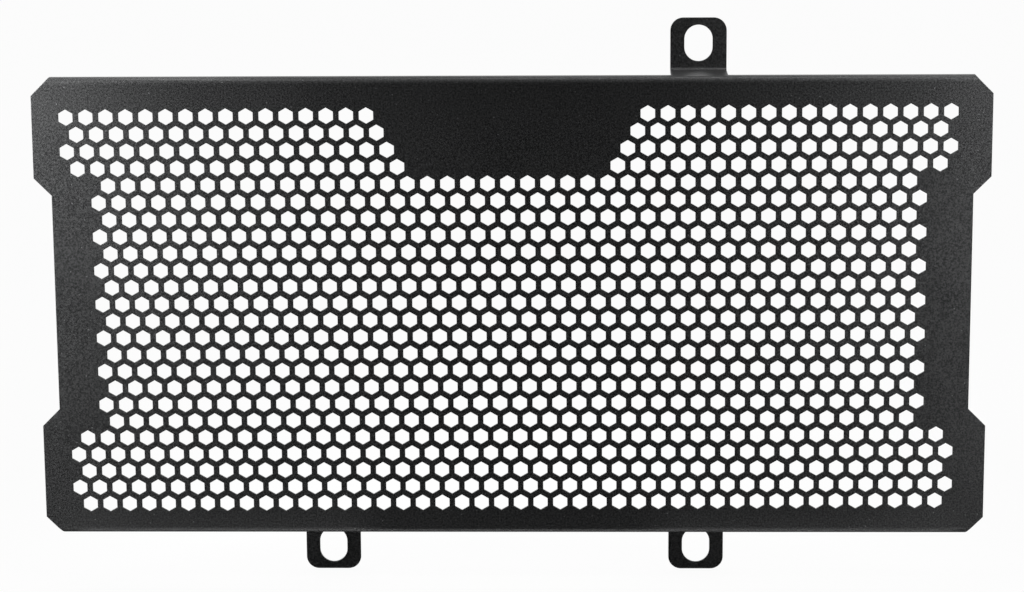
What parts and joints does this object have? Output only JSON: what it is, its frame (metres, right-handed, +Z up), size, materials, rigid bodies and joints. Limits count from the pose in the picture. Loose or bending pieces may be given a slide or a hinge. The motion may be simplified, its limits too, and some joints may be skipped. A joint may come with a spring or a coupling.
{
  "type": "motorcycle radiator guard",
  "caption": "Flat guard for a motorcycle radiator: folded sheet metal with a hexagon grille, a plain top panel, folded edges and slotted mounting tabs set back on short arms.",
  "frame": {"origin": "centre of the part's bounding box: halfway across, halfway up, and halfway from the sheet's foremost line to the back faces of the tabs", "axes": "+X to the right seen from the front, +Y from the front face towards the radiator, +Z up"},
  "size_m": [0.382, 0.022, 0.2294],
  "materials": {
    "powder_coat": "matt black powder coat with a fine grain, on folded aluminium sheet"
  },
  "bodies": {
    "root": {"guard": "powder_coat"}
  },
  "joints": []
}
